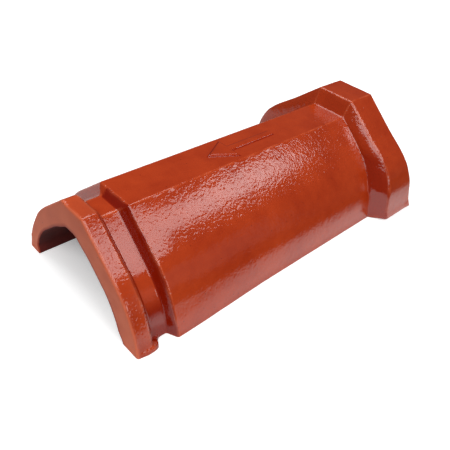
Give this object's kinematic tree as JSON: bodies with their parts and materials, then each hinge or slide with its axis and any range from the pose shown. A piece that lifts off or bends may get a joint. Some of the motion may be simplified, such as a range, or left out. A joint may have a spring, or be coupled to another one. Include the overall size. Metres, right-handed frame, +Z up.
{
  "type": "clay ridge tile",
  "caption": "Glazed clay ridge tile with a flat crown, sloping sides, a grooved spigot at one end and a collar at the other that laps the next tile.",
  "frame": {"origin": "on the ground, below the middle of the tile's length and width", "axes": "+X along the tile from the spigot end to the collar end, +Y across it, +Z up out of the crown"},
  "size_m": [0.37, 0.2166, 0.1115],
  "materials": {
    "glazed_clay": "glossy red-orange glaze with a slight orange peel, bare terracotta underneath"
  },
  "bodies": {
    "root": {"ridge_tile": "glazed_clay"}
  },
  "joints": []
}
